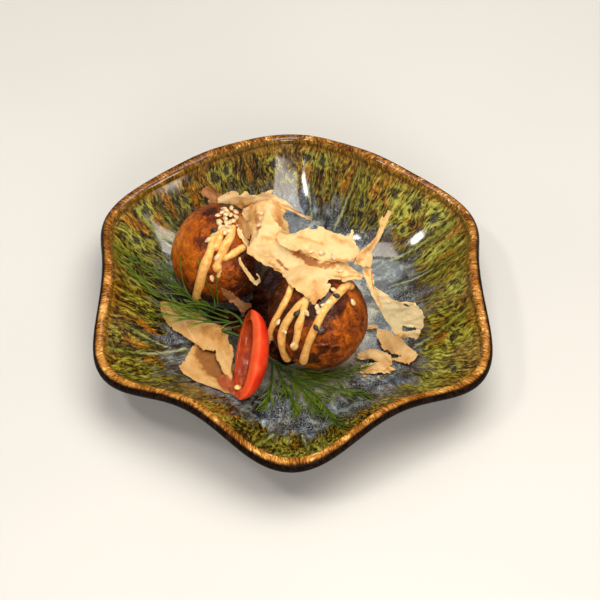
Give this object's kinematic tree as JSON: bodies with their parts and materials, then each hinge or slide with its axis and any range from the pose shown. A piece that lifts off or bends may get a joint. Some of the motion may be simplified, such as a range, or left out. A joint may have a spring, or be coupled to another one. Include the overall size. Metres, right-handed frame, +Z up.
{
  "type": "takoyaki plate",
  "caption": "Lobed shallow stoneware dish with browned takoyaki balls, mayonnaise, sesame, bonito flakes, tomato and dill.",
  "frame": {"origin": "middle of the dish's foot, on the table", "axes": "+Z up; the pictured view looks from -Y towards +Y, with +X to the right"},
  "size_m": [0.1584, 0.1796, 0.0652],
  "materials": {
    "glazed_stoneware": "mottled glossy glaze",
    "browned_crust": "browned batter, brushed with sauce",
    "bonito": "thin dry shavings",
    "tomato_flesh": "wet flesh and smooth skin",
    "dill": "fresh leaf"
  },
  "bodies": {
    "root": {"dish": "glazed_stoneware", "ball_left": "browned_crust", "ball_right": "browned_crust", "flake_back_band": "bonito", "flake_back_lobe": "bonito", "flake_tent": "bonito", "flake_leaf": "bonito", "flake_centre": "bonito", "flake_upper": "bonito", "flake_standing": "bonito", "flake_right": "bonito", "flake_floor_right": "bonito", "flake_crumb_upper": "bonito", "flake_crumb_lower": "bonito", "flake_left": "bonito", "flake_floor_left": "bonito", "flake_between": "bonito", "tomato": "tomato_flesh", "dill_left": "dill", "dill_right": "dill"}
  },
  "joints": []
}
